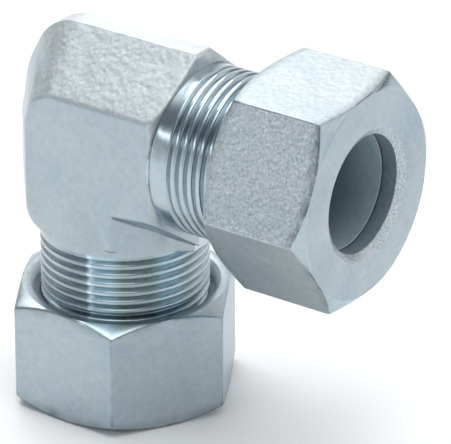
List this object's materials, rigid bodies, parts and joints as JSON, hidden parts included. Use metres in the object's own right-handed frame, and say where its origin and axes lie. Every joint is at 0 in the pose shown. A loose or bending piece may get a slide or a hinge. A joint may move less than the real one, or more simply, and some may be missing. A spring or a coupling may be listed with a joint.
{
  "type": "compression fitting",
  "caption": "Equal 90 degree elbow compression fitting of zinc-plated steel with hexagon union nuts, for joining metal tube.",
  "frame": {"origin": "bottom centre of the whole part, level with the inlet nut's outer face; the two leg axes cross at (-0.01276, 0, 0.044)", "axes": "+X along the outlet leg, outwards; -Z along the inlet leg, outwards; Y across the body's two side flats"},
  "size_m": [0.0624, 0.0368, 0.0608],
  "materials": {
    "zinc_forged": "zinc-plated forging, grainy on the slopes and smooth on the flats, bright turned necks and threads",
    "zinc_nut": "satin zinc plate, clear passivated",
    "ring_steel": "hardened turned steel, plated"
  },
  "bodies": {
    "elbow_body": {"elbow_body": "zinc_forged"},
    "outlet_ring": {"outlet_cutting_ring": "ring_steel"},
    "outlet_nut": {"outlet_nut": "zinc_nut"},
    "inlet_ring": {"inlet_cutting_ring": "ring_steel"},
    "inlet_nut": {"inlet_nut": "zinc_nut"}
  },
  "joints": [
    {"name": "outlet_ring_slide", "type": "slide", "parent": "elbow_body", "child": "outlet_ring", "axis": [1, 0, 0], "range_m": [-0.00167, 0.003]},
    {"name": "outlet_nut_turn", "type": "hinge", "parent": "outlet_ring", "child": "outlet_nut", "pos_m": [0, 0, 0.044], "axis": [1, 0, 0], "range_deg": [-400, 720]},
    {"name": "inlet_ring_slide", "type": "slide", "parent": "elbow_body", "child": "inlet_ring", "axis": [0, 0, -1], "range_m": [-0.00167, 0.003]},
    {"name": "inlet_nut_turn", "type": "hinge", "parent": "inlet_ring", "child": "inlet_nut", "pos_m": [-0.01276, 0, 0.01], "axis": [0, 0, -1], "range_deg": [-400, 720]}
  ],
  "couplings": [
    {"joint": "outlet_nut_turn", "follows": "outlet_ring_slide", "rad_per_m": 4188.8},
    {"joint": "inlet_nut_turn", "follows": "inlet_ring_slide", "rad_per_m": 4188.8}
  ]
}
